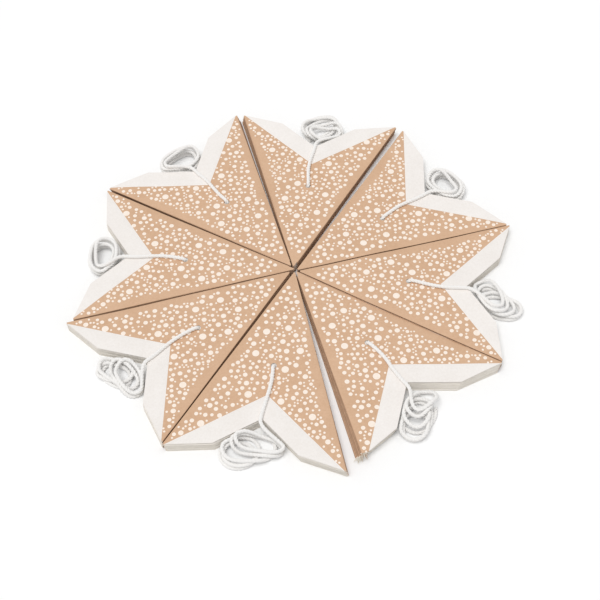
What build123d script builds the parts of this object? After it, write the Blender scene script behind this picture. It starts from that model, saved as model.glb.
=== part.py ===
"""Eight-pointed paper star: eight folded card stars laid flat with their apexes together.

Each folded star is a book of card rays, closed along its two long folds and glued
tab to tab along the notch. A cotton cord leaves a hole in its top card and ends in a hank.
"""
from math import atan2, cos, degrees, hypot, pi, radians, sin, tan
import os

from build123d import *

os.makedirs("parts", exist_ok=True)

# Flat outline of one folded star, measured from its apex (mm and degrees)
EDGE_LENGTH = 118.5
HALF_ANGLE = 22.27
NOTCH_DISTANCE = 74.7
TAB_WIDTH = 10.5
TAB_TAPER = 22.3
TIP_TRIM = 1.6
WORN_TIP_TRIM = 6.0
APEX_TRIM = 1.2

# Card section of one ray, and how many rays make the book
RAY_COUNT = 7
CARD = 0.25
POCKET_GAP = 0.22
LEAF_SLIT = 0.08
FOLD_ROUND = 0.3

# Cord, its hole and the way it lies on the card
CORD_DIAMETER = 2.0
HOLE_CLEARANCE = 0.5
HOLE_TO_NOTCH = 16.5
CORD_LIFT = 0.35
CORD_DIP = 0.9
EXIT_SLOPE = 30.0
LAST_RUN = 6.5
ARC_SHARE = 0.45

# Hank of spare cord that lies in the notch
HANK_HEIGHT = 8.2
HANK_STANDOFF = 4.0
HANK_NECK = 2.0
HANK_TAB_CLEARANCE = 1.2
HANK_NECK_ROUND = 0.4
HANK_SHOULDER = 3.0
HANK_CORNER = 6.0

# Layout: heading of each star's axis and the place of its apex
STARS = (
    {"heading": 81.0, "apex": (-2.0, 16.5)},
    {"heading": 34.7, "apex": (-1.9, 15.8)},
    {"heading": -9.7, "apex": (-0.6, 15.3)},
    {"heading": -53.3, "apex": (-1.5, 13.1)},
    {"heading": -101.9, "apex": (-2.3, 10.2)},
    {"heading": -144.2, "apex": (-5.9, 13.9)},
    {"heading": 172.1, "apex": (-3.0, 17.3)},
    {"heading": 127.0, "apex": (-2.8, 17.8)},
)
WORN_STAR = 4

# Each cord over the card: distance past the hole and sideways drift of its points
CORD_ROUTES = (
    ((5.0, 0.5), (11.5, 1.4), (19.0, 1.2), -0.2),
    ((5.0, 0.3), (12.0, 0.9), (19.5, -0.4), -1.4),
    ((5.0, -0.6), (11.8, -2.0), (20.0, -2.6), -1.6),
    ((5.2, 0.4), (12.4, 0.6), (20.0, -0.9), -1.5),
    ((5.0, 0.6), (11.6, 0.9), (19.2, 0.3), -0.4),
    ((5.2, -0.6), (12.2, -0.9), (19.6, -0.2), 1.3),
    ((5.0, -0.5), (11.6, -0.9), (19.4, 0.2), 1.4),
    ((5.2, 0.4), (12.0, 0.1), (19.6, -0.5), 0.3),
)

# Each hank: how far it reaches outward, and its half widths on the two sides
HANKS = (
    {"reach": 26.0, "left": 10.0, "right": 13.0},
    {"reach": 20.0, "left": 8.0, "right": 11.0},
    {"reach": 26.0, "left": 8.0, "right": 16.0},
    {"reach": 27.0, "left": 8.0, "right": 16.0},
    {"reach": 23.0, "left": 15.0, "right": 16.0},
    {"reach": 23.0, "left": 14.0, "right": 13.0},
    {"reach": 18.0, "left": 10.0, "right": 9.0},
    {"reach": 17.0, "left": 12.0, "right": 9.0},
)

# Derived sizes
CORD_RADIUS = CORD_DIAMETER / 2
RAY_THICKNESS = 2 * CARD + POCKET_GAP
RAY_PITCH = RAY_THICKNESS + LEAF_SLIT
STAR_HEIGHT = RAY_COUNT * RAY_PITCH - LEAF_SLIT
CORNER_X = EDGE_LENGTH * cos(radians(HALF_ANGLE))
CORNER_Y = EDGE_LENGTH * sin(radians(HALF_ANGLE))
SCORE_ANGLE = degrees(atan2(CORNER_Y, CORNER_X - NOTCH_DISTANCE))
SCORE_LENGTH = hypot(CORNER_X - NOTCH_DISTANCE, CORNER_Y)
TIP_ANGLE = SCORE_ANGLE - HALF_ANGLE
TAB_NOTCH = NOTCH_DISTANCE + TAB_WIDTH / sin(radians(SCORE_ANGLE))
HOLE_X = NOTCH_DISTANCE - HOLE_TO_NOTCH
HANK_START = TAB_NOTCH + HANK_STANDOFF
LIE_HEIGHT = STAR_HEIGHT + CORD_RADIUS + CORD_LIFT


def along(start, angle, distance):
    """Point at a distance from start, in the direction of an angle in degrees."""
    return (start[0] + distance * cos(radians(angle)), start[1] + distance * sin(radians(angle)))


def tip_points(side, trim):
    """Blunt outer tip: the end of the long fold and the end of the score line."""
    fold_end = along((0, 0), side * HALF_ANGLE, EDGE_LENGTH - trim)
    score_end = along(
        (CORNER_X, side * CORNER_Y), 180 + side * SCORE_ANGLE, trim / cos(radians(TIP_ANGLE))
    )
    return fold_end, score_end


def tip_trim(star_number, side):
    """One tip of the worn star is crushed short."""
    return WORN_TIP_TRIM if star_number == WORN_STAR and side < 0 else TIP_TRIM


def dart_outline(star_number):
    """Printed dart, from the apex round both tips to the bottom of the notch."""
    left_fold, left_score = tip_points(1, tip_trim(star_number, 1))
    right_fold, right_score = tip_points(-1, tip_trim(star_number, -1))
    return (
        along((0, 0), HALF_ANGLE, APEX_TRIM),
        left_fold,
        left_score,
        (NOTCH_DISTANCE, 0),
        right_score,
        right_fold,
        along((0, 0), -HALF_ANGLE, APEX_TRIM),
    )


def tab_outline(star_number, side):
    """Glue tab outside one score line, tapered towards the tip."""
    score_end = tip_points(side, tip_trim(star_number, side))[1]
    edge_length = SCORE_LENGTH - TAB_TAPER - TAB_WIDTH / tan(radians(SCORE_ANGLE))
    taper_start = along((TAB_NOTCH, 0), side * SCORE_ANGLE, edge_length)
    return (NOTCH_DISTANCE, 0), score_end, taper_start, (TAB_NOTCH, 0)


def layout_centre():
    """Middle of the rectangle that just holds all the tips."""
    xs, ys = [], []
    for number, star in enumerate(STARS, start=1):
        for side in (1, -1):
            for point in tip_points(side, tip_trim(number, side)):
                angle = star["heading"] + degrees(atan2(point[1], point[0]))
                x, y = along(star["apex"], angle, hypot(*point))
                xs.append(x)
                ys.append(y)
    return (min(xs) + max(xs)) / 2, (min(ys) + max(ys)) / 2


CENTRE = layout_centre()


def star_plane(star_number):
    """Plane of one star: x along its axis, origin at its apex on the ground."""
    star = STARS[star_number - 1]
    heading = radians(star["heading"])
    origin = (star["apex"][0] - CENTRE[0], star["apex"][1] - CENTRE[1], 0)
    return Plane(origin=origin, x_dir=(cos(heading), sin(heading), 0), z_dir=(0, 0, 1))


def polygon(plane, points):
    """Flat face with straight sides, drawn on a plane."""
    with BuildSketch(plane) as sketch:
        with BuildLine():
            Polyline(*points, close=True)
        make_face()
    return sketch.sketch


def make_ray(star_number):
    """One folded card envelope: rounded long folds and a pocket open at the notch."""
    ground = star_plane(star_number)
    inside_apex = (CARD / sin(radians(HALF_ANGLE)), 0)
    pocket = (
        inside_apex,
        along(inside_apex, HALF_ANGLE, EDGE_LENGTH),
        along(inside_apex, -HALF_ANGLE, EDGE_LENGTH),
    )
    with BuildPart() as ray:
        add(polygon(ground, dart_outline(star_number)))
        extrude(amount=RAY_THICKNESS)
        shortest_fold = (EDGE_LENGTH + SCORE_LENGTH) / 2
        fillet(ray.edges().filter_by(lambda edge: edge.length > shortest_fold), FOLD_ROUND)
        add(polygon(ground.offset(CARD), pocket))
        extrude(amount=POCKET_GAP, mode=Mode.SUBTRACT)
    return ray


def make_star(star_number):
    """Book of rays, with the tabs of neighbouring rays glued face to face."""
    ground = star_plane(star_number)
    ray = make_ray(star_number)
    with BuildPart() as star:
        for leaf in range(RAY_COUNT):
            with Locations((0, 0, leaf * RAY_PITCH)):
                add(ray.part)
        for level in range(RAY_COUNT + 1):
            low = max(level * RAY_PITCH - LEAF_SLIT - CARD, 0)
            high = min(level * RAY_PITCH + CARD, STAR_HEIGHT)
            for side in (1, -1):
                add(polygon(ground.offset(low), tab_outline(star_number, side)))
                extrude(amount=high - low)
        with BuildSketch(ground.offset(STAR_HEIGHT)):
            with Locations((HOLE_X, 0)):
                Circle(CORD_RADIUS + HOLE_CLEARANCE)
        extrude(amount=-CARD, mode=Mode.SUBTRACT)
    return star


def cord_points(star_number):
    """Route of the cord in its star's plane, from the hole to the hank."""
    *middle, end_drift = CORD_ROUTES[star_number - 1]
    start_height = LIE_HEIGHT - CORD_DIP
    rise_run = CORD_DIP / tan(radians(EXIT_SLOPE))
    points = [(HOLE_X, 0, start_height), (HOLE_X + rise_run, 0, LIE_HEIGHT)]
    points += [(HOLE_X + past, drift, LIE_HEIGHT) for past, drift in middle]
    points += [
        (HANK_START - LAST_RUN, end_drift, LIE_HEIGHT),
        (HANK_START, end_drift, LIE_HEIGHT),
    ]
    return points


def bend_radii(points):
    """Largest arc that each corner's two runs leave room for."""
    radii = []
    for before, here, after in zip(points, points[1:], points[2:]):
        run_in, run_out = here - before, after - here
        half_turn = radians(run_in.get_angle(run_out)) / 2
        radii.append(ARC_SHARE * min(run_in.length, run_out.length) / tan(half_turn))
    return radii


def make_cord(star_number):
    """Plain tube along the cord's straight runs and tangent arcs."""
    ground = star_plane(star_number)
    points = [ground.from_local_coords(Vector(*point)) for point in cord_points(star_number)]
    radii = bend_radii(points)
    with BuildPart() as cord:
        with BuildLine() as route:
            FilletPolyline(*points, radius=radii)
        with BuildSketch(Plane(origin=points[0], z_dir=points[1] - points[0])):
            Circle(CORD_RADIUS)
        sweep(path=route.wire())
    section = pi * CORD_RADIUS**2
    print(f"cord_{star_number} bend radii", [round(radius, 1) for radius in radii])
    share = cord.part.volume / (section * route.wire().length)
    print(f"cord_{star_number} volume / section x length", round(share, 4))
    return cord


def make_hank(star_number):
    """Outer shape of the loose hank, wedged into the notch behind the tabs."""
    hank = HANKS[star_number - 1]
    neck_y = CORD_ROUTES[star_number - 1][-1]
    slope = tan(radians(SCORE_ANGLE))
    offset = HANK_TAB_CLEARANCE / cos(radians(SCORE_ANGLE))
    end_x = HANK_START + hank["reach"]

    def shoulder_x(half_width):
        return TAB_NOTCH + (half_width + offset) / slope

    outline = (
        (HANK_START, neck_y + HANK_NECK),
        (shoulder_x(hank["left"]), hank["left"]),
        (end_x, hank["left"]),
        (end_x, -hank["right"]),
        (shoulder_x(hank["right"]), -hank["right"]),
        (HANK_START, neck_y - HANK_NECK),
    )
    half_radii = (HANK_NECK_ROUND, HANK_SHOULDER, HANK_CORNER)
    with BuildPart() as body:
        with BuildSketch(star_plane(star_number)):
            with BuildLine():
                FilletPolyline(*outline, radius=half_radii + half_radii[::-1], close=True)
            make_face()
        extrude(amount=HANK_HEIGHT)
    return body


for number in range(1, len(STARS) + 1):
    star = make_star(number)
    star.part.label = f"folded_star_{number}"
    export_step(star.part, f"parts/folded_star_{number}.step")

    cord = make_cord(number)
    cord.part.label = f"cord_{number}"
    export_step(cord.part, f"parts/cord_{number}.step")

    hank = make_hank(number)
    hank.part.label = f"cord_hank_{number}"
    export_step(hank.part, f"parts/cord_hank_{number}.step")
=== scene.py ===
"""Looks of the paper star: eight folded card stars laid flat with their apexes together.

Each star has its own cord. All lengths are in metres. A star and its cord are worked out in the star's
own plane, with x along its axis, y to the left and the origin at its apex on the ground, and are then
placed in the row frame.
"""
import random
from math import atan2, ceil, cos, hypot, pi, radians, sin, sqrt, tan

import bpy
import numpy as np
from mathutils import Matrix, Quaternion, Vector
from mathutils.geometry import delaunay_2d_cdt


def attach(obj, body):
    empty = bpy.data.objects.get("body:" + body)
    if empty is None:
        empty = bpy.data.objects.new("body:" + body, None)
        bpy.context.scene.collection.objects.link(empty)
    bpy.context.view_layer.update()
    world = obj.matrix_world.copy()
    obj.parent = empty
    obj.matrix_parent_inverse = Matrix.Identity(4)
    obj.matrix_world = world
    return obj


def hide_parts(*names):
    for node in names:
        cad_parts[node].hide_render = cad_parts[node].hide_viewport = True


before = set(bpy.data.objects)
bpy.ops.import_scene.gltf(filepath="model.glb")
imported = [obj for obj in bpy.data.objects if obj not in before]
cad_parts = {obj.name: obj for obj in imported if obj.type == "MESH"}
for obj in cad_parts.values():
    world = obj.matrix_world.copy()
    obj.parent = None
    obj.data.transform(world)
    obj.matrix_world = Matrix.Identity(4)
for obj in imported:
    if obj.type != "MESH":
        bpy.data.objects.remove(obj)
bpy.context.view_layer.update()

# Flat outline of one folded star, measured from its apex
EDGE_LENGTH = 0.1185
HALF_ANGLE = radians(22.27)
NOTCH_DISTANCE = 0.0747
TAB_WIDTH = 0.0105
TAB_TAPER = 0.0223
TIP_TRIM = 0.0016
WORN_TIP_TRIM = 0.006
APEX_TRIM = 0.0013

# Card section of one ray, and how many rays make the book
RAY_COUNT = 7
CARD = 0.00025
RAY_THICKNESS = 0.00072
LEAF_SLIT = 0.00008
RAY_PITCH = RAY_THICKNESS + LEAF_SLIT
STAR_HEIGHT = RAY_COUNT * RAY_PITCH - LEAF_SLIT
FOLD_RADIUS = RAY_THICKNESS / 2
# Heights of the faces of a ray's two sheets, from the outside of the lower to the outside of the upper
FACE_HEIGHTS = (0, CARD, RAY_THICKNESS - CARD, RAY_THICKNESS)

# Layout of the stars, as in the CAD source, and how far each apex is drawn towards the others
STARS = (
    {"heading": 81.0, "apex": (-0.0020, 0.0165), "drawn": (-0.0008, 0.0006)},
    {"heading": 34.7, "apex": (-0.0019, 0.0158), "drawn": (0.0003, -0.0003)},
    {"heading": -9.7, "apex": (-0.0006, 0.0153), "drawn": (0.0000, -0.0002)},
    {"heading": -53.3, "apex": (-0.0015, 0.0131), "drawn": (-0.0004, 0.0024)},
    {"heading": -101.9, "apex": (-0.0023, 0.0102), "drawn": (0.0001, 0.0051)},
    {"heading": -144.2, "apex": (-0.0059, 0.0139), "drawn": (0.0016, 0.0012)},
    {"heading": 172.1, "apex": (-0.0030, 0.0173), "drawn": (0.0015, -0.0009)},
    {"heading": 127.0, "apex": (-0.0028, 0.0178), "drawn": (-0.0006, 0.0003)},
)
LAYOUT_CENTRE = (-0.002929, 0.012951)
WORN_STAR = 4
# How far the lowest leaf of a star has slid under its top leaf: turn about the apex, and shift
LEANS = {
    1: (radians(0.5), (0.0000, 0.0000)),
    2: (radians(0.8), (0.0000, 0.0003)),
    4: (radians(-1.3), (-0.0004, -0.0001)),
    5: (radians(0.5), (0.0000, 0.0002)),
    6: (radians(-0.4), (0.0000, 0.0009)),
    8: (radians(-0.8), (0.0000, 0.0000)),
}

# Shape that handling gives the card: the top sheet's puff, and tips that spread
PUFF = 0.00035
PUFF_REACH = 0.008
TIP_SPREAD = 0.10
SPREAD_SHARES = (0.3, 1.3)
SPREAD_START = 0.07
SPREAD_RUN = 0.05
# Soft wave of the sheets, with a smaller one across it
WAVE_HEIGHT = 0.00014
WAVE_LENGTHS = (0.0115, 0.0095, 0.0071)
CROSS_WAVE = 0.4
# Creases along the scores, and the share of the slit that glued tabs close
CREASE_DEPTH = 0.00011
CREASE_WIDTH = 0.00035
CREASE_STOP = 0.0016
TAB_CLOSE_RUN = 0.0008
TAB_CLOSE_SHARE = 0.96
# Leaves a little askew
SHAPE_SEED = 100
LEAF_TURN = radians(0.05)
LEAF_SHIFT = 0.00012

# How far from the apex the cut ends still show kraft, darkened with painted shade
APEX_REACH = 0.006

# Torn slivers at the crushed tip
FRAY_SEED = 4
FRAY_COUNT = 70
FRAY_ROOT = 0.0006
FRAY_LENGTH = (0.0008, 0.0034)
FRAY_WIDTH = (0.00015, 0.0006)
FRAY_SPREAD = 0.6
FRAY_HEIGHTS = (0.05, 0.98)
FRAY_SLOPES = (-0.35, 0.25)
FRAY_HALF_THICKNESS = CARD / 3

# Mesh spacing
EDGE_STEP = 0.003
GRID_STEP = 0.0045
FOLD_SEGMENTS = 6
INNER_FOLD_SEGMENTS = 2
KRAFT_FOLD_SEGMENTS = 2
# How far the free points of a sheet's mesh keep from its folds, its tabs' edge, its scores and its dots
FOLD_MARGIN = 0.0012
TAB_MARGIN = 0.001
SCORE_MARGIN = 0.0008
DOT_MARGIN = 0.0004
# The triangulation works in millimetres, to this tolerance
MESH_SCALE = 1000
MESH_TOLERANCE = 1e-5
SHARP_ANGLE = radians(40)

# Printed dots, largest first: how many, radius, nearest place to the apex and gap to other dots
DOT_SIZES = (
    {"count": 9, "radius": (0.00165, 0.00190), "start": 0.030, "gap": 0.0070},
    {"count": 26, "radius": (0.00118, 0.00142), "start": 0.018, "gap": 0.0022},
    {"count": 120, "radius": (0.00086, 0.00110), "start": 0.004, "gap": 0.0007},
    {"count": 150, "radius": (0.00046, 0.00066), "start": 0.012, "gap": 0.0004},
)
DOT_TRIES = 90
DOT_SIDES = 12
PRINT_SEED = 7
# A dot keeps this far from the hole, and this share of its radius inside the scores
HOLE_MARGIN = 0.0003
SCORE_SHARE = 0.7
# A dot may come closer to a smaller one: below this share of its radius, by this share of the gap
SMALLER = 0.8
SMALLER_GAP = 0.4
# Bare strip along each long fold: least width, and what is added at its widest, on the right and left
STRIP_MARGIN = 0.0005
STRIP_WIDTHS = (0.0030, 0.0036)
# Where the strip starts to widen and to narrow, and over what distance
STRIP_START = 0.022
STRIP_RISE = 0.048
STRIP_END = 0.088
STRIP_FALL = 0.022

# Cord over the card, as in the CAD source, and how much of its length that takes
CORD_DIAMETER = 0.002
CORD_RADIUS = CORD_DIAMETER / 2
CORD_LENGTH = 0.30
CARD_STRETCH = 0.034
HOLE_X = 0.0582
HOLE_RADIUS = 0.0015
LIE_HEIGHT = 0.00687
HANK_START = 0.09201
LAST_RUN = 0.0065
# Rise of the cord out of its hole: distance past the middle of the hole, and height
CORD_RISE = ((0, 0.0053), (0.0002, 0.0063), (0.00156, LIE_HEIGHT))
# Distance past the hole and sideways drift of the cord's points, with the drift at the neck of the hank
CORD_ROUTES = (
    ((0.0050, 0.0005), (0.0115, 0.0014), (0.0190, 0.0012), -0.0002),
    ((0.0050, 0.0003), (0.0120, 0.0009), (0.0195, -0.0004), -0.0014),
    ((0.0050, -0.0006), (0.0118, -0.0020), (0.0200, -0.0026), -0.0016),
    ((0.0052, 0.0004), (0.0124, 0.0006), (0.0200, -0.0009), -0.0015),
    ((0.0050, 0.0006), (0.0116, 0.0009), (0.0192, 0.0003), -0.0004),
    ((0.0052, -0.0006), (0.0122, -0.0009), (0.0196, -0.0002), 0.0013),
    ((0.0050, -0.0005), (0.0116, -0.0009), (0.0194, 0.0002), 0.0014),
    ((0.0052, 0.0004), (0.0120, 0.0001), (0.0196, -0.0005), 0.0003),
)

# Turns of each hank: middle, half length of the straight runs, end radius and direction of the runs;
# a hank with runs towards -y winds the other way
HANKS = (
    ((0.1000, -0.0045, 0.0030, 0.0046, -100), (0.1010, -0.0050, 0.0035, 0.0062, -85),
     (0.1040, -0.0020, 0.0020, 0.0078, -65), (0.1080, 0.0000, 0.0025, 0.0088, -50),
     (0.1080, 0.0000, 0.0025, 0.0064, -40), (0.1040, -0.0035, 0.0030, 0.0080, -75)),
    ((0.1000, -0.0010, 0.0040, 0.0045, -90), (0.1005, -0.0010, 0.0040, 0.0064, -88),
     (0.1020, -0.0020, 0.0030, 0.0084, -80), (0.1030, -0.0020, 0.0025, 0.0056, -70),
     (0.1035, -0.0015, 0.0015, 0.0082, -85), (0.1010, -0.0010, 0.0035, 0.0060, -95)),
    ((0.1000, -0.0030, 0.0050, 0.0046, -65), (0.1005, -0.0035, 0.0055, 0.0060, -60),
     (0.1030, -0.0060, 0.0045, 0.0060, -50), (0.1070, -0.0085, 0.0050, 0.0052, -15),
     (0.1070, -0.0080, 0.0040, 0.0070, -10), (0.1040, -0.0040, 0.0050, 0.0060, -55)),
    ((0.1000, 0.0010, 0.0030, 0.0048, -85), (0.1000, -0.0020, 0.0035, 0.0052, -80),
     (0.1015, -0.0065, 0.0005, 0.0062, -80), (0.1060, -0.0115, 0.0015, 0.0074, -50),
     (0.1080, -0.0125, 0.0020, 0.0058, -45), (0.1040, -0.0060, 0.0030, 0.0070, -70)),
    ((0.0995, 0.0020, 0.0065, 0.0046, 90), (0.1000, 0.0010, 0.0075, 0.0048, 86),
     (0.1010, -0.0010, 0.0055, 0.0064, 92), (0.1045, -0.0070, 0.0015, 0.0088, 105),
     (0.1055, -0.0080, 0.0005, 0.0064, 105), (0.1050, -0.0075, 0.0015, 0.0090, 100)),
    ((0.1000, 0.0040, 0.0040, 0.0048, 90), (0.1010, 0.0030, 0.0045, 0.0062, 78),
     (0.1020, -0.0010, 0.0050, 0.0050, 95), (0.1040, -0.0055, 0.0040, 0.0064, 120),
     (0.1050, -0.0065, 0.0030, 0.0046, 130), (0.1025, 0.0000, 0.0050, 0.0070, 90)),
    ((0.1000, 0.0005, 0.0040, 0.0045, 100), (0.1005, 0.0010, 0.0045, 0.0064, 98),
     (0.1015, 0.0015, 0.0030, 0.0083, 90), (0.1020, 0.0010, 0.0020, 0.0054, 80),
     (0.1025, 0.0005, 0.0015, 0.0080, 95), (0.1010, 0.0000, 0.0030, 0.0058, 100)),
    ((0.0995, 0.0015, 0.0055, 0.0044, 95), (0.1000, 0.0015, 0.0050, 0.0064, 90),
     (0.1005, 0.0020, 0.0035, 0.0084, 85), (0.1010, 0.0020, 0.0040, 0.0056, 80),
     (0.1005, 0.0010, 0.0040, 0.0078, 95), (0.1000, 0.0015, 0.0050, 0.0056, 92)),
)
FIRST_TURN_POINT = 2
TAB_CLEARANCE = 0.0014
TURN_POINTS = 14
# How squarely the straight runs of a turn meet its ends
RUN_SHARPNESS = 2.2
# Lay of the turns: how far apart two runs may be and still touch, the steepest slope, how many rounds
# of settling, and the least rise that asks for another round
LAY_GAP = 0.0005
LAY_SLOPE = 0.5
LAY_ROUNDS = 12
LAY_STEP = 1e-6
# Twisted plies: distance from the cord's middle and radius as shares of the cord's radius, and what
# is added to them over the loose end
PLY_COUNT = 3
PLY_PITCH = 0.0052
PLY_SIDES = 8
PLY_STEPS = 10
PLY_OFFSET = 0.46
PLY_RADIUS = 0.55
LOOSE_LENGTH = 0.004
LOOSE_OFFSET = 0.22
LOOSE_RADIUS = -0.11
LINE_RESOLUTION = 6

# Camera: place, the point on the ground it looks at, roll and lens
CAMERA_PLACE = (0.00293, -0.39925, 0.51594)
CAMERA_TARGET = (0.00293, -0.01295, 0.0)
CAMERA_ROLL = radians(2.081)
CAMERA_LENS = 74.27
CAMERA_SENSOR = 36.0

# Light: level of the surroundings, and strength, softness and tilt of the lamp; the floor's own shade
WORLD_LEVEL = 0.55
LAMP_STRENGTH = 1.5
LAMP_ANGLE = radians(35)
LAMP_TILT = (radians(12), radians(-11), 0)
FLOOR_SIZE = 6
FLOOR_SHADE = (0.86, 0.86, 0.86)

# Material numbers on a star; the last is kraft darkened with painted shade
KRAFT, INK, WHITE, CUT, SHADED_KRAFT = range(5)

# Derived sizes
CORNER_X = EDGE_LENGTH * cos(HALF_ANGLE)
CORNER_Y = EDGE_LENGTH * sin(HALF_ANGLE)
SCORE_ANGLE = atan2(CORNER_Y, CORNER_X - NOTCH_DISTANCE)
SCORE_LENGTH = hypot(CORNER_X - NOTCH_DISTANCE, CORNER_Y)
TAB_NOTCH = NOTCH_DISTANCE + TAB_WIDTH / sin(SCORE_ANGLE)


def along(start, angle, distance):
    """Point at a distance from start, in the direction of an angle."""
    return (start[0] + distance * cos(angle), start[1] + distance * sin(angle))


def between(a, b, share):
    """Point at a share of the way from a to b."""
    return tuple(p + (q - p) * share for p, q in zip(a, b))


def ramp(value):
    """Smooth step from 0 to 1."""
    clipped = np.clip(value, 0, 1)
    return clipped * clipped * (3 - 2 * clipped)


def beyond_score(points):
    """How far each point lies outside the notch's score lines; less than 0 on the printed dart."""
    return (points[:, 0] - NOTCH_DISTANCE) * sin(SCORE_ANGLE) - np.abs(points[:, 1]) * cos(SCORE_ANGLE)


def from_fold(points):
    """How far each point lies from the nearer long fold."""
    return points[:, 0] * sin(HALF_ANGLE) - np.abs(points[:, 1]) * cos(HALF_ANGLE)


def half_outline(side, trim):
    """Flat part of a sheet on one side of the axis, from the apex to the end of the tab's taper."""
    apex_x = APEX_TRIM * cos(HALF_ANGLE)
    apex = (apex_x, side * (apex_x * tan(HALF_ANGLE) - FOLD_RADIUS / cos(HALF_ANGLE)))
    fold_end = along((0, 0), side * HALF_ANGLE, EDGE_LENGTH - trim)
    score_end = along(
        (CORNER_X, side * CORNER_Y), pi + side * SCORE_ANGLE, trim / cos(SCORE_ANGLE - HALF_ANGLE)
    )
    inward = from_fold(np.array([score_end]))[0]
    edge_length = SCORE_LENGTH - TAB_TAPER - TAB_WIDTH / tan(SCORE_ANGLE)
    taper_start = along((TAB_NOTCH, 0), side * SCORE_ANGLE, edge_length)
    return apex, between(fold_end, score_end, FOLD_RADIUS / inward), score_end, taper_start


def sheet_outline(right_trim):
    """Outline of a sheet's flat part in short steps, with True where a long fold leads on from a point."""
    apex, fold_end, score_end, taper_start = half_outline(-1, right_trim)
    left = half_outline(1, TIP_TRIM)
    corners = [
        (apex, True), (fold_end, False), (score_end, False), (taper_start, False), ((TAB_NOTCH, 0), False),
        (left[3], False), (left[2], False), (left[1], True), (left[0], False),
    ]
    points, folds = [], []
    for (start, is_fold), (end, _) in zip(corners, corners[1:] + corners[:1]):
        steps = max(1, round(hypot(end[0] - start[0], end[1] - start[1]) / EDGE_STEP))
        points += [between(start, end, i / steps) for i in range(steps)]
        folds += [is_fold] * steps
    return points, folds


def bare_strip(place):
    """Width without dots along the nearer long fold, widest two thirds of the way out."""
    out = hypot(*place)
    widest = STRIP_WIDTHS[place[1] > 0]
    widening = ramp((out - STRIP_START) / STRIP_RISE)
    narrowing = ramp((out - STRIP_END) / STRIP_FALL)
    return STRIP_MARGIN + widest * widening * (1 - narrowing)


def dot_fits(place, radius, gap, dots):
    """Whether a dot lies on the dart, clear of the bare strips, the cord hole and the other dots."""
    spot = np.array([place])
    if from_fold(spot)[0] < bare_strip(place) + radius or beyond_score(spot)[0] > -SCORE_SHARE * radius:
        return False
    if hypot(place[0] - HOLE_X, place[1]) < HOLE_RADIUS + radius + HOLE_MARGIN:
        return False
    for x, y, other in dots:
        needed = gap * (1 if other > radius * SMALLER else SMALLER_GAP)
        if hypot(place[0] - x, place[1] - y) - radius - other <= needed:
            return False
    return True


def dot_layout():
    """Seeded scatter of printed dots, as (x, y, radius)."""
    rng = random.Random(PRINT_SEED)
    dots = []
    for size in DOT_SIZES:
        wanted = len(dots) + size["count"]
        for _ in range(size["count"] * DOT_TRIES):
            place = (rng.uniform(size["start"], CORNER_X), rng.uniform(-CORNER_Y, CORNER_Y))
            radius = rng.uniform(*size["radius"])
            if dot_fits(place, radius, size["gap"], dots):
                dots.append((*place, radius))
            if len(dots) == wanted:
                break
    return dots


def circle_points(x, y, radius, sides):
    """Corners of a regular polygon."""
    return [along((x, y), 2 * pi * i / sides, radius) for i in range(sides)]


def crease_lines(right_trim):
    """Lines along the notch's two scores and on both sides of each, where the sheet bends."""
    lines = []
    for offset in (-CREASE_WIDTH, 0, CREASE_WIDTH):
        notch = (NOTCH_DISTANCE + offset / sin(SCORE_ANGLE), 0)
        for side, trim in ((1, TIP_TRIM), (-1, right_trim)):
            length = SCORE_LENGTH - trim / cos(SCORE_ANGLE - HALF_ANGLE) - CREASE_STOP * (offset != 0)
            steps = ceil(length / EDGE_STEP)
            lines.append([along(notch, side * SCORE_ANGLE, length * i / steps) for i in range(steps + 1)])
    return lines


def free_points(dots):
    """Evenly spread points inside a sheet, clear of its edges, scores, dots and cord hole."""
    rows = int(CORNER_X / GRID_STEP)
    circles = (*dots, (HOLE_X, 0, HOLE_RADIUS))
    points = []
    for row in range(1, rows + 2):
        for column in range(-rows, rows + 1):
            x = row * GRID_STEP
            y = (column + 0.5 * (row % 2)) * GRID_STEP
            spot = np.array([(x, y)])
            outside = beyond_score(spot)[0]
            if from_fold(spot)[0] < FOLD_MARGIN or outside > TAB_WIDTH - TAB_MARGIN:
                continue
            if abs(outside) < SCORE_MARGIN:
                continue
            if all(hypot(x - u, y - v) > radius + DOT_MARGIN for u, v, radius in circles):
                points.append((x, y))
    return points


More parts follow.
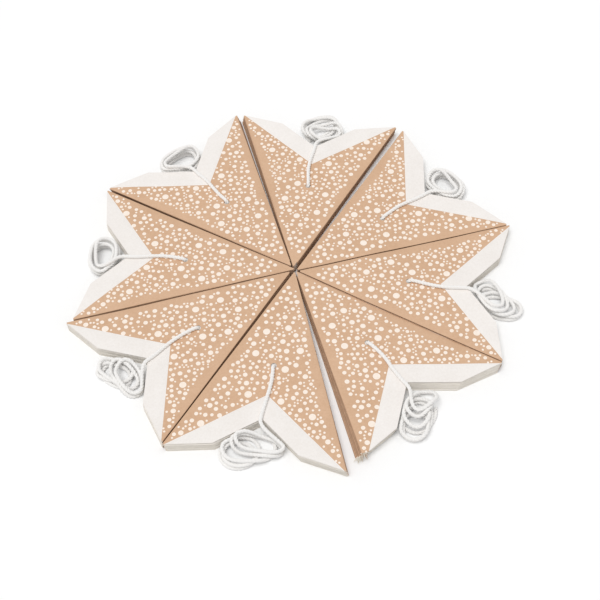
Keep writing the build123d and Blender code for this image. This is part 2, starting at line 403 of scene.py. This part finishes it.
def sheet_plan(right_trim, dots=(), hole=False):
    """Triangles of a sheet's flat part, with its outline, creases, dots and cord hole as edges."""
    outline, folds = sheet_outline(right_trim)
    circles = [circle_points(x, y, radius, DOT_SIDES) for x, y, radius in dots]
    if hole:
        circles.append(circle_points(HOLE_X, 0, HOLE_RADIUS, DOT_SIDES))
    lines = [(outline, True)]
    lines += [(crease, False) for crease in crease_lines(right_trim)]
    lines += [(circle, True) for circle in circles]
    points, edges = [], []
    for line, closed in lines:
        start = len(points)
        points += line
        edges += [(start + i, start + i + 1) for i in range(len(line) - 1)]
        if closed:
            edges.append((len(points) - 1, start))
    hole_start = len(points) - DOT_SIDES
    points += free_points(dots)

    scaled = [Vector(p) * MESH_SCALE for p in points]
    made = delaunay_2d_cdt(scaled, edges, [], 1, MESH_TOLERANCE)
    flat = np.array([tuple(v) for v in made[0]]) / MESH_SCALE
    triangles = np.array(made[2])
    where = {source: index for index, sources in enumerate(made[3]) for source in sources}
    middles = flat[triangles].mean(axis=1)
    inner_share = cos(pi / DOT_SIDES)
    is_dot = np.zeros(len(triangles), bool)
    for x, y, radius in dots:
        is_dot |= np.hypot(middles[:, 0] - x, middles[:, 1] - y) < radius * inner_share
    on_dart = beyond_score(middles) < 0
    rim = []
    if hole:
        kept = np.hypot(middles[:, 0] - HOLE_X, middles[:, 1]) >= HOLE_RADIUS * inner_share
        triangles, is_dot, on_dart = triangles[kept], is_dot[kept], on_dart[kept]
        rim = [where[hole_start + i] for i in range(DOT_SIDES)]
    return {
        "points": flat,
        "triangles": triangles,
        "printed": np.where(on_dart, np.where(is_dot, INK, KRAFT), WHITE),
        "outline": [where[i] for i in range(len(outline))],
        "folds": folds,
        "hole": rim,
    }


class Shell:
    """Collects the points, faces and material numbers of one mesh."""

    def __init__(self):
        self.points, self.faces, self.materials, self.count = [], [], [], 0

    def add_points(self, points):
        """Adds points and gives the number of the first one."""
        start = self.count
        self.points.append(np.asarray(points, float))
        self.count += len(points)
        return start

    def add_faces(self, faces, materials):
        """Adds faces with one material number, or one for each."""
        faces = [tuple(int(i) for i in face) for face in faces]
        self.faces += faces
        if np.isscalar(materials):
            materials = [materials] * len(faces)
        self.materials += [int(m) for m in materials]

    def build(self, name, matrix, materials):
        """Makes the mesh object, placed by a matrix and with its points in the row frame."""
        mesh = bpy.data.meshes.new(name)
        mesh.from_pydata(np.concatenate(self.points).tolist(), [], self.faces)
        mesh.transform(matrix)
        for material in materials:
            mesh.materials.append(material)
        mesh.polygons.foreach_set("material_index", self.materials)
        mesh.shade_smooth()
        mesh.set_sharp_from_angle(angle=SHARP_ANGLE)
        obj = bpy.data.objects.new(name, mesh)
        bpy.context.scene.collection.objects.link(obj)
        return obj


def star_matrix(star):
    """Places a star's own plane in the row frame."""
    x, y = (a - c for a, c in zip(star["apex"], LAYOUT_CENTRE))
    return Matrix.Translation((x, y, 0)) @ Matrix.Rotation(radians(star["heading"]), 4, "Z")


def drawn(number, x, y):
    """Place in a star's own plane after its apex is drawn towards the others; its tips stay."""
    star = STARS[number - 1]
    heading = radians(star["heading"])
    right, up = star["drawn"]
    share = np.clip(1 - x / CORNER_X, 0, 1)
    x_shift = right * cos(heading) + up * sin(heading)
    y_shift = up * cos(heading) - right * sin(heading)
    return x + x_shift * share, y + y_shift * share


class StarShape:
    """How handling bends one star's card: tips that spread, a soft wave, and leaves a little askew."""

    def __init__(self, number):
        rng = random.Random(SHAPE_SEED + number)
        self.number = number
        self.spread = {side: TIP_SPREAD * rng.uniform(*SPREAD_SHARES) for side in (1, -1)}
        self.phases = [rng.uniform(0, 2 * pi) for _ in range(4)]
        lean_turn, lean_shift = LEANS.get(number, (0, (0, 0)))
        self.leaves = []
        for leaf in range(RAY_COUNT):
            slid = 1 - leaf / (RAY_COUNT - 1)
            turn = lean_turn * slid + rng.uniform(-1, 1) * LEAF_TURN
            shift = [slide * slid + rng.uniform(-1, 1) * LEAF_SHIFT for slide in lean_shift]
            self.leaves.append((turn, *shift))

    def place(self, points, leaf, base):
        """Points of a sheet's flat part at their height in the book."""
        x, y = points[:, 0], points[:, 1]
        share = base / STAR_HEIGHT
        spread = np.where(y > 0, self.spread[1], self.spread[-1])
        spread = spread * ramp((np.hypot(x, y) - SPREAD_START) / SPREAD_RUN)
        wave = np.sin(x / WAVE_LENGTHS[0] + self.phases[0]) * np.cos(y / WAVE_LENGTHS[1] + self.phases[1])
        wave += np.sin((x + y) / WAVE_LENGTHS[2] + self.phases[2]) * CROSS_WAVE
        height = base * (1 + spread * np.abs(y) / CORNER_Y) + share * WAVE_HEIGHT * wave
        turn, shift_x, shift_y = self.leaves[leaf]
        x, y = drawn(self.number, x, y)
        return np.column_stack(
            [x * cos(turn) - y * sin(turn) + shift_x, x * sin(turn) + y * cos(turn) + shift_y, height]
        )


def sheet_surface(plan, shape, leaf, level):
    """One face of a ray's sheets: level 0 is the outside of the lower sheet, level 3 of the upper one."""
    base = leaf * RAY_PITCH + FACE_HEIGHTS[level]
    points = shape.place(plan["points"], leaf, base)
    outside = beyond_score(plan["points"])
    closing = LEAF_SLIT / 2 * TAB_CLOSE_SHARE * ramp(outside / TAB_CLOSE_RUN)
    crease = CREASE_DEPTH * np.exp(-((outside / CREASE_WIDTH) ** 2))
    if level >= 2 and leaf == RAY_COUNT - 1:
        points[:, 2] += PUFF * (1 - np.exp(-np.maximum(from_fold(plan["points"]), 0) / PUFF_REACH))
        points[:, 2] -= crease
    elif level >= 2:
        points[:, 2] += closing
    elif leaf > 0:
        points[:, 2] -= closing
    else:
        points[:, 2] += crease * level
    return points


def fold_strip(shell, upper, lower, run, bulge, shades, flip):
    """Rounded fold between a run of two faces' rims; gives its rows of point numbers, from the top down."""
    top, bottom = upper["rim"][run], lower["rim"][run]
    middle, reach = (top + bottom) / 2, (top - bottom) / 2
    rows = [[upper["numbers"][i] for i in run]]
    for step in range(1, len(shades)):
        angle = pi / 2 - pi * step / len(shades)
        ring = middle + reach * sin(angle) + bulge * cos(angle)
        start = shell.add_points(ring)
        rows.append(list(range(start, start + len(ring))))
    rows.append([lower["numbers"][i] for i in run])
    for upper_row, lower_row, shade in zip(rows, rows[1:], shades):
        for i in range(len(top) - 1):
            face = (upper_row[i], lower_row[i], lower_row[i + 1], upper_row[i + 1])
            shell.add_faces([face[::-1] if flip else face], shade)
    return rows


def end_shade(point):
    """Material of a cut end: kraft darkened with painted shade at the folded apex, else the card's core."""
    return SHADED_KRAFT if point[0] < APEX_REACH else CUT


def rim_face(first, second, i):
    """Face between two closed rims, from point i of each to the next."""
    j = (i + 1) % len(first)
    return first[i], first[j], second[j], second[i]


def add_faces_of_sheets(shell, shape, leaf, plans):
    """The four faces of a ray's two sheets, from the lowest up; gives their rims."""
    faces = []
    for level, plan in enumerate(plans):
        points = sheet_surface(plan, shape, leaf, level)
        start = shell.add_points(points)
        triangles = plan["triangles"] + start
        if level in (0, 2):
            triangles = triangles[:, ::-1]
        shell.add_faces(triangles, plan["printed"] if level in (0, 3) else WHITE)
        faces.append({
            "rim": points[plan["outline"]],
            "numbers": [start + i for i in plan["outline"]],
            "hole": [start + i for i in plan["hole"]],
        })
    return faces


def add_ray(shell, shape, leaf, plans):
    """One folded card envelope of the book, with its tabs; plans are the plans of its four faces."""
    bottom, inner_low, inner_high, top = add_faces_of_sheets(shell, shape, leaf, plans)
    folds = plans[0]["folds"]
    end_shades = [end_shade(plans[0]["points"][i]) for i in plans[0]["outline"]]
    for upper, lower in ((top, inner_high), (inner_low, bottom)):
        for i, is_fold in enumerate(folds):
            if not is_fold:
                shell.add_faces([rim_face(lower["numbers"], upper["numbers"], i)], end_shades[i])
    for i in range(len(top["hole"])):
        shell.add_faces([rim_face(top["hole"], inner_high["hole"], i)], CUT)

    # Fold sides take kraft darkened with painted shade, for the narrow gaps between stars; next to the outer
    # faces of the top and bottom leaves the plain kraft stays
    shades = [SHADED_KRAFT] * FOLD_SEGMENTS
    if leaf == RAY_COUNT - 1:
        shades[:KRAFT_FOLD_SEGMENTS] = [KRAFT] * KRAFT_FOLD_SEGMENTS
    if leaf == 0:
        shades[-KRAFT_FOLD_SEGMENTS:] = [KRAFT] * KRAFT_FOLD_SEGMENTS
    inner_shades = [WHITE] * INNER_FOLD_SEGMENTS
    for side in (-1, 1):
        # The side is read after handling, so a rim point moved over the axis joins the other side's run
        run = [i for i, is_fold in enumerate(folds) if is_fold and (bottom["rim"][i][1] > 0) == (side > 0)]
        run.append((run[-1] + 1) % len(folds))
        outward = np.array([-sin(HALF_ANGLE), side * cos(HALF_ANGLE), 0])
        outer = fold_strip(shell, top, bottom, run, outward * FOLD_RADIUS, shades, False)
        inner_bulge = outward * (FOLD_RADIUS - CARD)
        inner = fold_strip(shell, inner_high, inner_low, run, inner_bulge, inner_shades, True)
        for end in (0, -1):
            ring = [row[end] for row in outer] + [row[end] for row in reversed(inner)]
            shell.add_faces([ring if end else ring[::-1]], end_shades[run[end]])


def add_fray(shell, shape):
    """Torn slivers of card that stand out of the crushed tip."""
    rng = random.Random(FRAY_SEED)
    fold_end, score_end = half_outline(-1, WORN_TIP_TRIM)[1:3]
    for _ in range(FRAY_COUNT):
        height = rng.uniform(*FRAY_HEIGHTS) * STAR_HEIGHT
        leaf = int(height / RAY_PITCH)
        place = between(fold_end, score_end, rng.uniform(0, 1))
        root = shape.place(np.array([place]), leaf, height)[0] - np.array([FRAY_ROOT, 0, 0])
        angle = rng.gauss(-HALF_ANGLE, FRAY_SPREAD)
        reach = rng.uniform(*FRAY_LENGTH)
        outward = np.array([cos(angle), sin(angle), rng.uniform(*FRAY_SLOPES)])
        aside = np.array([-sin(angle), cos(angle), 0]) * rng.uniform(*FRAY_WIDTH) / 2
        upward = np.array([0, 0, FRAY_HALF_THICKNESS])
        corners = [root - aside - upward, root + aside - upward, root + aside + upward, root - aside + upward]
        start = shell.add_points([*corners, root + outward * (reach + FRAY_ROOT)])
        ring = [start + i for i in range(4)]
        sides = [(ring[i], ring[(i + 1) % 4], start + 4) for i in range(4)]
        # Some slivers take kraft darkened with painted shade, the rest the card's core
        shell.add_faces([ring[::-1], *sides], rng.choice((CUT, CUT, SHADED_KRAFT)))


def make_star(number, star, plans, materials):
    """Book of folded rays; the top and bottom sheets carry the print that shows."""
    shell = Shell()
    shape = StarShape(number)
    for leaf in range(RAY_COUNT):
        plain = plans["plain"]
        top = plans["top"] if leaf == RAY_COUNT - 1 else plain
        under_top = plans["hole"] if leaf == RAY_COUNT - 1 else plain
        bottom = plans["bottom"] if leaf == 0 else plain
        add_ray(shell, shape, leaf, (bottom, plain, under_top, top))
    if number == WORN_STAR:
        add_fray(shell, shape)
    return shell.build(f"star_{number}", star_matrix(star), materials)


def card_points(number):
    """Control points of a cord from inside its hole to the neck of its hank, in its star's plane."""
    *middle, end_drift = CORD_ROUTES[number - 1]
    points = [(HOLE_X + past, 0, height) for past, height in CORD_RISE]
    points += [(HOLE_X + past, drift, LIE_HEIGHT) for past, drift in middle]
    points += [(HANK_START - LAST_RUN, end_drift, LIE_HEIGHT), (HANK_START, end_drift, LIE_HEIGHT)]
    return [(*drawn(number, x, y), z) for x, y, z in points]


def hank_points(turns, neck, spare):
    """Control points round the turns of a hank, until the spare length of cord is used up."""
    points, last, used, step = [], neck, 0, FIRST_TURN_POINT
    while used < spare:
        turn = step / TURN_POINTS
        lower = min(int(turn), len(turns) - 1)
        upper = min(lower + 1, len(turns) - 1)
        x, y, run, radius, heading = between(turns[lower], turns[upper], turn - int(turn))
        side = 1 if heading > 0 else -1
        angle = -pi / 2 + 2 * pi * turn
        forward = run * np.tanh(RUN_SHARPNESS * cos(angle)) + radius * cos(angle)
        aside = side * radius * sin(angle)
        direction = radians(heading)
        place = (
            x + forward * cos(direction) + aside * sin(direction),
            y + forward * sin(direction) - aside * cos(direction),
        )
        tab_edge = TAB_NOTCH + abs(place[1]) / tan(SCORE_ANGLE) + TAB_CLEARANCE / sin(SCORE_ANGLE)
        place = (max(place[0], tab_edge), place[1])
        used += hypot(place[0] - last[0], place[1] - last[1])
        points.append(place)
        last = place
        step += 1
    return points


def laid_heights(places, fixed):
    """Heights of a cord's points, laid from its far end so that each part rests on those before it.

    The first points keep their fixed heights.
    """
    heights = [CORD_RADIUS] * len(places)
    for index, height in enumerate(fixed):
        heights[index] = height
    for _ in range(LAY_ROUNDS):
        changed = False
        for i in range(len(places) - 1, len(fixed) - 1, -1):
            need = heights[i]
            for j in range(i + 2, len(places) - 1):
                apart = max(0, segment_distance(places[i], places[j], places[j + 1]) - LAY_GAP)
                if apart < CORD_DIAMETER:
                    base = (heights[j] + heights[j + 1]) / 2
                    need = max(need, base + sqrt(CORD_DIAMETER**2 - apart**2))
            for j in (i - 1, i + 1):
                if 0 <= j < len(places):
                    run = hypot(places[i][0] - places[j][0], places[i][1] - places[j][1])
                    need = max(need, heights[j] - LAY_SLOPE * run)
            if need > heights[i] + LAY_STEP:
                heights[i] = need
                changed = True
        if not changed:
            break
    return heights


def segment_distance(point, start, end):
    """Distance on the ground from a point to a straight run."""
    run = (end[0] - start[0], end[1] - start[1])
    past = (point[0] - start[0], point[1] - start[1])
    share = (past[0] * run[0] + past[1] * run[1]) / max(run[0] ** 2 + run[1] ** 2, 1e-12)
    near = between(start, end, min(1, max(0, share)))
    return hypot(point[0] - near[0], point[1] - near[1])


def cord_route(number):
    """All control points of one cord in its star's plane."""
    start = card_points(number)
    turns = hank_points(HANKS[number - 1], start[-1][:2], CORD_LENGTH - CARD_STRETCH)
    places = [point[:2] for point in start] + turns
    heights = laid_heights(places, [point[2] for point in start])
    return [(x, y, z) for (x, y), z in zip(places, heights)]


def route_line(name, points):
    """Smooth centreline of a route: the points of a NURBS spline through its control points."""
    data = bpy.data.curves.new(name, "CURVE")
    data.dimensions = "3D"
    data.resolution_u = LINE_RESOLUTION
    spline = data.splines.new("NURBS")
    spline.points.add(len(points) - 1)
    for knot, point in zip(spline.points, points):
        knot.co = (*point, 1)
    spline.order_u = 3
    spline.use_endpoint_u = True
    curve = bpy.data.objects.new(name, data)
    mesh = bpy.data.meshes.new_from_object(curve)
    line = np.array([v.co for v in mesh.vertices], float)
    bpy.data.meshes.remove(mesh)
    bpy.data.objects.remove(curve)
    bpy.data.curves.remove(data)
    return line


def line_frames(line):
    """Two directions square to a line at each of its points, carried along it without twist."""
    tangents = np.gradient(line, axis=0)
    tangents /= np.linalg.norm(tangents, axis=1)[:, None]
    first = np.cross(tangents[0], (0, 1, 0.1))
    normals = [first / np.linalg.norm(first)]
    for tangent in tangents[1:]:
        carried = normals[-1] - tangent * (normals[-1] @ tangent)
        normals.append(carried / np.linalg.norm(carried))
    normals = np.array(normals)
    return normals, np.cross(tangents, normals)


def add_ply(shell, line, radii):
    """Closed round tube along a line, with a radius at each of its points."""
    normals, sideways = line_frames(line)
    start = shell.count
    for i in range(PLY_SIDES):
        angle = 2 * pi * i / PLY_SIDES
        shell.add_points(line + (normals * cos(angle) + sideways * sin(angle)) * radii[:, None])
    count = len(line)
    for i in range(PLY_SIDES):
        a, b = start + i * count, start + (i + 1) % PLY_SIDES * count
        shell.add_faces([(a + k, a + k + 1, b + k + 1, b + k) for k in range(count - 1)], 0)
    shell.add_faces([[start + i * count for i in range(PLY_SIDES)]], 0)
    shell.add_faces([[start + i * count + count - 1 for i in reversed(range(PLY_SIDES))]], 0)


def make_cord(number, star, material):
    """Cotton cord of three twisted plies with a loose cut end; gives the cord and its path."""
    matrix = star_matrix(star)
    line = route_line(f"route_{number}", cord_route(number))
    steps = np.linalg.norm(np.diff(line, axis=0), axis=1)
    reached = np.concatenate([[0], np.cumsum(steps)])
    length = float(steps.sum())
    at = np.linspace(0, length, ceil(length / (PLY_PITCH / PLY_STEPS)))
    fine = np.column_stack([np.interp(at, reached, line[:, k]) for k in range(3)])
    normals, sideways = line_frames(fine)
    loose = ramp((at - (length - LOOSE_LENGTH)) / LOOSE_LENGTH)
    offset = CORD_RADIUS * (PLY_OFFSET + LOOSE_OFFSET * loose)
    radii = CORD_RADIUS * (PLY_RADIUS + LOOSE_RADIUS * loose)
    shell = Shell()
    for ply in range(PLY_COUNT):
        angle = 2 * pi * (at / PLY_PITCH + ply / PLY_COUNT)
        around = normals * np.cos(angle)[:, None] + sideways * np.sin(angle)[:, None]
        add_ply(shell, fine + around * offset[:, None], radii)
    cord = shell.build(f"twisted_cord_{number}", matrix, [material])
    return cord, [tuple(matrix @ Vector(point)) for point in line]


def new_material(name, roughness):
    """Material with a principled shader; gives the material, its node tree and the shader."""
    material = bpy.data.materials.new(name)
    material.use_nodes = True
    shader = material.node_tree.nodes["Principled BSDF"]
    shader.inputs["Roughness"].default_value = roughness
    return material, material.node_tree, shader


def link(tree, source, target):
    """Joins the output of one shader node to the input of another."""
    tree.links.new(source, target)


def noise(tree, scale, detail, stretch=(1, 1, 1)):
    """Noise in object space, with its coordinates stretched."""
    coordinates = tree.nodes.new("ShaderNodeTexCoord")
    mapping = tree.nodes.new("ShaderNodeMapping")
    mapping.inputs["Scale"].default_value = stretch
    texture = tree.nodes.new("ShaderNodeTexNoise")
    texture.inputs["Scale"].default_value = scale
    texture.inputs["Detail"].default_value = detail
    link(tree, coordinates.outputs["Object"], mapping.inputs["Vector"])
    link(tree, mapping.outputs["Vector"], texture.inputs["Vector"])
    return texture.outputs["Fac"]


def colour_ramp(tree, value, low, high, low_at=0.3, high_at=0.7):
    """Colours from low to high as a value goes from low_at to high_at."""
    node = tree.nodes.new("ShaderNodeValToRGB")
    node.color_ramp.elements[0].position = low_at
    node.color_ramp.elements[0].color = (*low, 1)
    node.color_ramp.elements[1].position = high_at
    node.color_ramp.elements[1].color = (*high, 1)
    link(tree, value, node.inputs["Fac"])
    return node.outputs["Color"]


def mix_colour(tree, a, b, share):
    """Two colours mixed by a share."""
    node = tree.nodes.new("ShaderNodeMix")
    node.data_type = "RGBA"
    node.inputs["Factor"].default_value = share
    link(tree, a, node.inputs["A"])
    link(tree, b, node.inputs["B"])
    return node.outputs["Result"]


def bump(tree, shader, height, strength, distance):
    """Bump from a height field, in metres."""
    node = tree.nodes.new("ShaderNodeBump")
    node.inputs["Strength"].default_value = strength
    node.inputs["Distance"].default_value = distance
    link(tree, height, node.inputs["Height"])
    link(tree, node.outputs["Normal"], shader.inputs["Normal"])


def linear(red, green, blue):
    """Linear colour of an sRGB colour given from 0 to 255."""
    def one(value):
        share = value / 255
        return share / 12.92 if share <= 0.04045 else ((share + 0.055) / 1.055) ** 2.4
    return one(red), one(green), one(blue)


def kraft_material():
    """Kraft-brown print on card: faint mottling, short fibres and a satin surface."""
    material, tree, shader = new_material("kraft_print", roughness=0.62)
    mottle = noise(tree, scale=90, detail=3)
    fibre = noise(tree, scale=900, detail=5, stretch=(1, 1, 4))
    base = colour_ramp(tree, mottle, linear(210, 171, 137), linear(219, 181, 148))
    fleck = colour_ramp(tree, fibre, linear(199, 159, 126), linear(227, 191, 160), low_at=0.25, high_at=0.75)
    link(tree, mix_colour(tree, base, fleck, share=0.35), shader.inputs["Base Color"])
    bump(tree, shader, fibre, strength=0.25, distance=0.00004)
    return material


def fold_material():
    """Kraft print along the folds, darker with painted shade of the narrow gaps between the stars, and
    streaked along their length.
    """
    material, tree, shader = new_material("kraft_fold_painted_shade", roughness=0.75)
    shade_mottle = noise(tree, scale=260, detail=4)
    streak = noise(tree, scale=700, detail=4, stretch=(0.4, 0.4, 6))
    # Painted shade: both ends of this ramp are darker than the kraft print
    base = colour_ramp(tree, shade_mottle, linear(168, 132, 104), linear(190, 154, 124))
    line = colour_ramp(tree, streak, linear(152, 116, 90), linear(208, 172, 142))
    link(tree, mix_colour(tree, base, line, share=0.4), shader.inputs["Base Color"])
    bump(tree, shader, streak, strength=0.3, distance=0.00005)
    return material


def ink_material():
    """Off-white ink dots, a little uneven over the kraft print."""
    material, tree, shader = new_material("dot_ink", roughness=0.5)
    cover = noise(tree, scale=700, detail=3)
    shades = colour_ramp(tree, cover, linear(250, 234, 218), linear(255, 243, 232))
    link(tree, shades, shader.inputs["Base Color"])
    fibre = noise(tree, scale=900, detail=5, stretch=(1, 1, 4))
    bump(tree, shader, fibre, strength=0.15, distance=0.00004)
    return material


def white_card_material():
    """Unprinted white card of the tabs and insides."""
    material, tree, shader = new_material("white_card", roughness=0.7)
    fibre = noise(tree, scale=1100, detail=6)
    cloud = noise(tree, scale=60, detail=2)
    base = colour_ramp(tree, cloud, linear(240, 234, 229), linear(247, 242, 238))
    grain = colour_ramp(tree, fibre, linear(235, 229, 223), linear(250, 246, 242))
    link(tree, mix_colour(tree, base, grain, share=0.4), shader.inputs["Base Color"])
    bump(tree, shader, fibre, strength=0.25, distance=0.00003)
    return material


def cut_edge_material():
    """Cut edge of the card: its pale core in fine layers."""
    material, tree, shader = new_material("cut_edge", roughness=0.85)
    layers = noise(tree, scale=800, detail=4, stretch=(0.3, 0.3, 6))
    shades = colour_ramp(tree, layers, linear(222, 214, 198), linear(248, 243, 232))
    link(tree, shades, shader.inputs["Base Color"])
    bump(tree, shader, layers, strength=0.5, distance=0.00005)
    return material


def cotton_material():
    """White cotton: soft fibres with a faint sheen."""
    material, tree, shader = new_material("cotton", roughness=0.9)
    fibre = noise(tree, scale=2600, detail=5, stretch=(1, 1, 2))
    shades = colour_ramp(tree, fibre, linear(240, 238, 235), linear(252, 250, 248))
    link(tree, shades, shader.inputs["Base Color"])
    shader.inputs["Sheen Weight"].default_value = 0.25
    bump(tree, shader, fibre, strength=0.6, distance=0.00012)
    return material


def add_floor():
    """Plain floor, white to the camera, that keeps the object's shadow."""
    bpy.ops.mesh.primitive_plane_add(size=FLOOR_SIZE)
    floor = bpy.context.object
    floor.name = "floor"
    material, tree, shader = new_material("floor_white", roughness=0.9)
    shader.inputs["Specular IOR Level"].default_value = 0.0
    rays = tree.nodes.new("ShaderNodeLightPath")
    seen = rays.outputs["Is Camera Ray"]
    for name in ("Is Glossy Ray", "Is Transmission Ray"):
        add = tree.nodes.new("ShaderNodeMath")
        add.operation = "MAXIMUM"
        link(tree, seen, add.inputs[0])
        link(tree, rays.outputs[name], add.inputs[1])
        seen = add.outputs[0]
    shades = colour_ramp(tree, seen, FLOOR_SHADE, (1, 1, 1), low_at=0, high_at=1)
    link(tree, shades, shader.inputs["Base Color"])
    floor.data.materials.append(material)


def add_lights():
    """Soft surroundings, white to the camera, and one broad lamp."""
    world = bpy.data.worlds.new("studio")
    bpy.context.scene.world = world
    world.use_nodes = True
    background = world.node_tree.nodes["Background"]
    background.inputs["Color"].default_value = (1, 1, 1, 1)
    seen = world.node_tree.nodes.new("ShaderNodeLightPath")
    level = world.node_tree.nodes.new("ShaderNodeMath")
    level.operation = "MAXIMUM"
    level.inputs[1].default_value = WORLD_LEVEL
    link(world.node_tree, seen.outputs["Is Camera Ray"], level.inputs[0])
    link(world.node_tree, level.outputs[0], background.inputs["Strength"])
    data = bpy.data.lights.new("key", "SUN")
    data.energy = LAMP_STRENGTH
    data.angle = LAMP_ANGLE
    key = bpy.data.objects.new("key", data)
    key.rotation_euler = LAMP_TILT
    bpy.context.scene.collection.objects.link(key)


def add_camera():
    """Camera at the photograph's place."""
    data = bpy.data.cameras.new("camera")
    data.sensor_width = CAMERA_SENSOR
    data.lens = CAMERA_LENS
    camera = bpy.data.objects.new("camera", data)
    view = Vector(CAMERA_TARGET) - Vector(CAMERA_PLACE)
    camera.location = CAMERA_PLACE
    camera.rotation_mode = "QUATERNION"
    camera.rotation_quaternion = Quaternion(view, CAMERA_ROLL) @ view.to_track_quat("-Z", "Y")
    bpy.context.scene.collection.objects.link(camera)
    bpy.context.scene.camera = camera


add_camera()
add_lights()
add_floor()
bpy.context.scene.view_settings.view_transform = "Standard"

cotton = cotton_material()
for number, star in enumerate(STARS, start=1):
    cord, path = make_cord(number, star, cotton)
    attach(cord, "root")
    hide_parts(f"cord_{number}", f"cord_hank_{number}")

card_materials = [
    kraft_material(), ink_material(), white_card_material(), cut_edge_material(), fold_material(),
]
dots = dot_layout()
star_plans = {
    trim: {
        "plain": sheet_plan(trim),
        "hole": sheet_plan(trim, hole=True),
        "top": sheet_plan(trim, dots, hole=True),
        "bottom": sheet_plan(trim, dots),
    }
    for trim in (TIP_TRIM, WORN_TIP_TRIM)
}
for number, star in enumerate(STARS, start=1):
    trim = WORN_TIP_TRIM if number == WORN_STAR else TIP_TRIM
    star_object = make_star(number, star, star_plans[trim], card_materials)
    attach(star_object, "root")
    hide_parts(f"folded_star_{number}")
